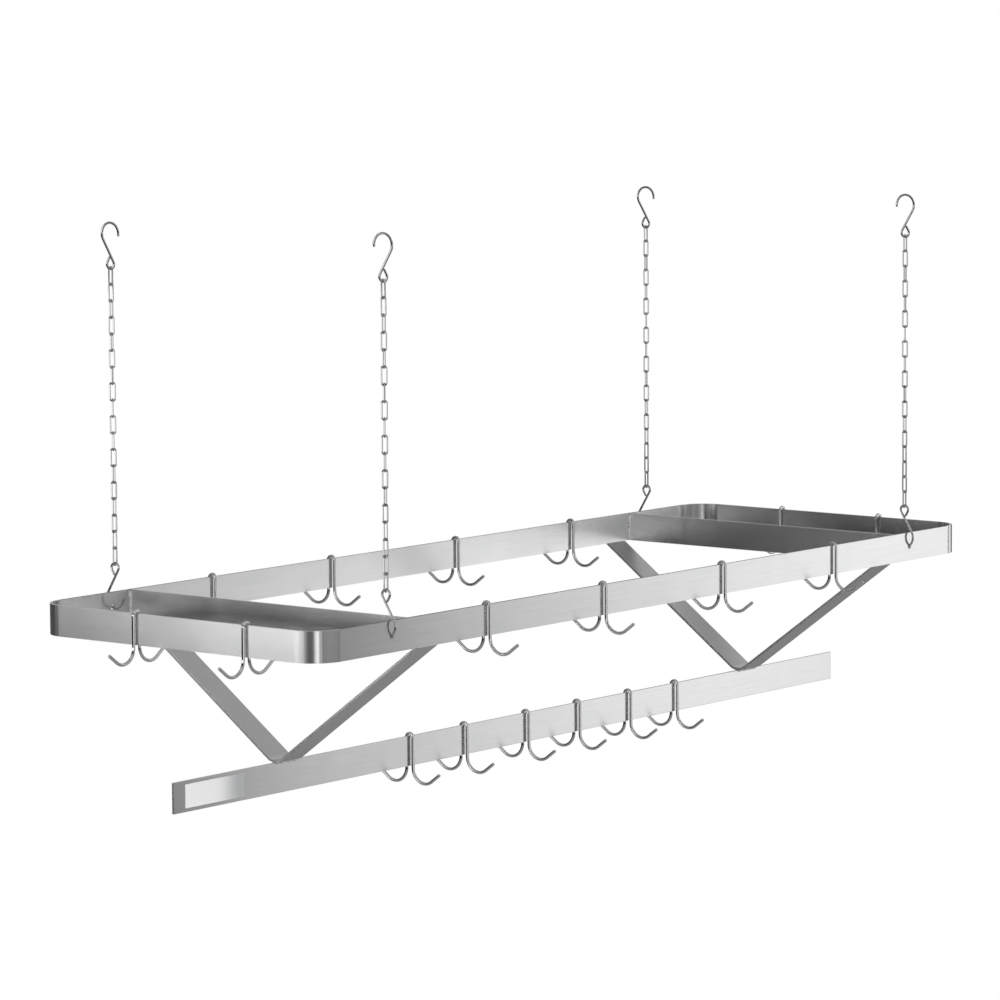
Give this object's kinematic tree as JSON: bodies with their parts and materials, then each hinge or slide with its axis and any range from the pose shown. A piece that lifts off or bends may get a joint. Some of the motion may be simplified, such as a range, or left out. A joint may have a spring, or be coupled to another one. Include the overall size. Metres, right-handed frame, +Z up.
{
  "type": "ceiling hanging rack",
  "caption": "Ceiling hung rack: a rounded ring of flat steel bar on chains, a lower bar on V straps, and double prong hooks that slide along the bars.",
  "frame": {"origin": "middle of the four ceiling points, level with where the ceiling hooks bear in the open bends of the S hooks", "axes": "+X along the rack to its right end, +Y from front to back, +Z up to the ceiling"},
  "size_m": [1.9388, 0.7308, 0.9577],
  "materials": {
    "stainless_bar": "satin",
    "bright_wire": "bright plated",
    "weld_metal": "as welded"
  },
  "bodies": {
    "ceiling_hooks": {"ceiling_hook_fl": "bright_wire", "ceiling_hook_fr": "bright_wire", "ceiling_hook_bl": "bright_wire", "ceiling_hook_br": "bright_wire"},
    "top_link_fl": {"top_link_fl": "bright_wire"},
    "chain_fl": {"chain_fl": "bright_wire"},
    "end_link_fl": {"end_link_fl": "bright_wire"},
    "top_link_fr": {"top_link_fr": "bright_wire"},
    "chain_fr": {"chain_fr": "bright_wire"},
    "end_link_fr": {"end_link_fr": "bright_wire"},
    "top_link_bl": {"top_link_bl": "bright_wire"},
    "chain_bl": {"chain_bl": "bright_wire"},
    "end_link_bl": {"end_link_bl": "bright_wire"},
    "top_link_br": {"top_link_br": "bright_wire"},
    "chain_br": {"chain_br": "bright_wire"},
    "end_link_br": {"end_link_br": "bright_wire"},
    "rack": {"rack_hook_fl": "bright_wire", "rack_hook_fr": "bright_wire", "rack_hook_bl": "bright_wire", "rack_hook_br": "bright_wire", "long_bar_front": "stainless_bar", "long_bar_back": "stainless_bar", "end_bend_left": "stainless_bar", "end_bend_right": "stainless_bar", "cross_bar_left": "stainless_bar", "cross_bar_right": "stainless_bar", "lower_bar": "stainless_bar", "v_strap_left": "stainless_bar", "v_strap_right": "stainless_bar", "cross_welds_left": "weld_metal", "cross_welds_right": "weld_metal", "strap_welds_left": "weld_metal", "strap_welds_right": "weld_metal"},
    "hook_front_1": {"hook_front_1": "bright_wire"},
    "hook_front_2": {"hook_front_2": "bright_wire"},
    "hook_front_3": {"hook_front_3": "bright_wire"},
    "hook_front_4": {"hook_front_4": "bright_wire"},
    "hook_back_1": {"hook_back_1": "bright_wire"},
    "hook_back_2": {"hook_back_2": "bright_wire"},
    "hook_back_3": {"hook_back_3": "bright_wire"},
    "hook_back_4": {"hook_back_4": "bright_wire"},
    "hook_left_1": {"hook_left_1": "bright_wire"},
    "hook_left_2": {"hook_left_2": "bright_wire"},
    "hook_right_1": {"hook_right_1": "bright_wire"},
    "hook_right_2": {"hook_right_2": "bright_wire"},
    "hook_lower_1": {"hook_lower_1": "bright_wire"},
    "hook_lower_2": {"hook_lower_2": "bright_wire"},
    "hook_lower_3": {"hook_lower_3": "bright_wire"},
    "hook_lower_4": {"hook_lower_4": "bright_wire"},
    "hook_lower_5": {"hook_lower_5": "bright_wire"},
    "hook_lower_6": {"hook_lower_6": "bright_wire"}
  },
  "joints": [
    {"name": "sway_along", "type": "hinge", "parent": "ceiling_hooks", "child": "top_link_fl", "pos_m": [-0.73, -0.2913, -0.0738], "axis": [0, 1, 0], "range_deg": [-20, 20]},
    {"name": "sway_across", "type": "hinge", "parent": "top_link_fl", "child": "chain_fl", "pos_m": [-0.73, -0.2913, -0.1004], "axis": [1, 0, 0], "range_deg": [-20, 20]},
    {"name": "end_level_fl", "type": "hinge", "parent": "chain_fl", "child": "end_link_fl", "pos_m": [-0.73, -0.2913, -0.5324], "axis": [1, 0, 0], "range_deg": [-20, 20]},
    {"name": "sway_along_fr", "type": "hinge", "parent": "ceiling_hooks", "child": "top_link_fr", "pos_m": [0.73, -0.2913, -0.0738], "axis": [0, 1, 0], "range_deg": [-20, 20]},
    {"name": "sway_across_fr", "type": "hinge", "parent": "top_link_fr", "child": "chain_fr", "pos_m": [0.73, -0.2913, -0.1004], "axis": [1, 0, 0], "range_deg": [-20, 20]},
    {"name": "end_level_fr", "type": "hinge", "parent": "chain_fr", "child": "end_link_fr", "pos_m": [0.73, -0.2913, -0.5324], "axis": [1, 0, 0], "range_deg": [-20, 20]},
    {"name": "sway_along_bl", "type": "hinge", "parent": "ceiling_hooks", "child": "top_link_bl", "pos_m": [-0.73, 0.2913, -0.0738], "axis": [0, 1, 0], "range_deg": [-20, 20]},
    {"name": "sway_across_bl", "type": "hinge", "parent": "top_link_bl", "child": "chain_bl", "pos_m": [-0.73, 0.2913, -0.1004], "axis": [1, 0, 0], "range_deg": [-20, 20]},
    {"name": "end_level_bl", "type": "hinge", "parent": "chain_bl", "child": "end_link_bl", "pos_m": [-0.73, 0.2913, -0.5324], "axis": [1, 0, 0], "range_deg": [-20, 20]},
    {"name": "sway_along_br", "type": "hinge", "parent": "ceiling_hooks", "child": "top_link_br", "pos_m": [0.73, 0.2913, -0.0738], "axis": [0, 1, 0], "range_deg": [-20, 20]},
    {"name": "sway_across_br", "type": "hinge", "parent": "top_link_br", "child": "chain_br", "pos_m": [0.73, 0.2913, -0.1004], "axis": [1, 0, 0], "range_deg": [-20, 20]},
    {"name": "end_level_br", "type": "hinge", "parent": "chain_br", "child": "end_link_br", "pos_m": [0.73, 0.2913, -0.5324], "axis": [1, 0, 0], "range_deg": [-20, 20]},
    {"name": "rack_level", "type": "hinge", "parent": "end_link_fl", "child": "rack", "pos_m": [-0.73, -0.2913, -0.559], "axis": [0, 1, 0], "range_deg": [-20, 20]},
    {"name": "slide_front_1", "type": "slide", "parent": "rack", "child": "hook_front_1", "axis": [1, 0, 0], "range_m": [-0.123, 0.15]},
    {"name": "slide_front_2", "type": "slide", "parent": "rack", "child": "hook_front_2", "axis": [1, 0, 0], "range_m": [-0.15, 0.164]},
    {"name": "slide_front_3", "type": "slide", "parent": "rack", "child": "hook_front_3", "axis": [1, 0, 0], "range_m": [-0.164, 0.162]},
    {"name": "slide_front_4", "type": "slide", "parent": "rack", "child": "hook_front_4", "axis": [1, 0, 0], "range_m": [-0.162, 0.12]},
    {"name": "slide_back_1", "type": "slide", "parent": "rack", "child": "hook_back_1", "axis": [1, 0, 0], "range_m": [-0.13, 0.15]},
    {"name": "slide_back_2", "type": "slide", "parent": "rack", "child": "hook_back_2", "axis": [1, 0, 0], "range_m": [-0.15, 0.167]},
    {"name": "slide_back_3", "type": "slide", "parent": "rack", "child": "hook_back_3", "axis": [1, 0, 0], "range_m": [-0.167, 0.164]},
    {"name": "slide_back_4", "type": "slide", "parent": "rack", "child": "hook_back_4", "axis": [1, 0, 0], "range_m": [-0.164, 0.105]},
    {"name": "slide_left_1", "type": "slide", "parent": "rack", "child": "hook_left_1", "axis": [0, 1, 0], "range_m": [-0.094, 0.112]},
    {"name": "slide_left_2", "type": "slide", "parent": "rack", "child": "hook_left_2", "axis": [0, 1, 0], "range_m": [-0.112, 0.16]},
    {"name": "slide_right_1", "type": "slide", "parent": "rack", "child": "hook_right_1", "axis": [0, 1, 0], "range_m": [-0.128, 0.105]},
    {"name": "slide_right_2", "type": "slide", "parent": "rack", "child": "hook_right_2", "axis": [0, 1, 0], "range_m": [-0.105, 0.141]},
    {"name": "slide_lower_1", "type": "slide", "parent": "rack", "child": "hook_lower_1", "axis": [1, 0, 0], "range_m": [-0.287, 0.068]},
    {"name": "slide_lower_2", "type": "slide", "parent": "rack", "child": "hook_lower_2", "axis": [1, 0, 0], "range_m": [-0.068, 0.08]},
    {"name": "slide_lower_3", "type": "slide", "parent": "rack", "child": "hook_lower_3", "axis": [1, 0, 0], "range_m": [-0.08, 0.068]},
    {"name": "slide_lower_4", "type": "slide", "parent": "rack", "child": "hook_lower_4", "axis": [1, 0, 0], "range_m": [-0.068, 0.069]},
    {"name": "slide_lower_5", "type": "slide", "parent": "rack", "child": "hook_lower_5", "axis": [1, 0, 0], "range_m": [-0.069, 0.065]},
    {"name": "slide_lower_6", "type": "slide", "parent": "rack", "child": "hook_lower_6", "axis": [1, 0, 0], "range_m": [-0.065, 0.188]}
  ],
  "couplings": [
    {"joint": "end_level_fl", "follows": "sway_across", "ratio": -1},
    {"joint": "sway_along_fr", "follows": "sway_along", "ratio": 1},
    {"joint": "sway_across_fr", "follows": "sway_across", "ratio": 1},
    {"joint": "end_level_fr", "follows": "sway_across", "ratio": -1},
    {"joint": "sway_along_bl", "follows": "sway_along", "ratio": 1},
    {"joint": "sway_across_bl", "follows": "sway_across", "ratio": 1},
    {"joint": "end_level_bl", "follows": "sway_across", "ratio": -1},
    {"joint": "sway_along_br", "follows": "sway_along", "ratio": 1},
    {"joint": "sway_across_br", "follows": "sway_across", "ratio": 1},
    {"joint": "end_level_br", "follows": "sway_across", "ratio": -1},
    {"joint": "rack_level", "follows": "sway_along", "ratio": -1}
  ]
}
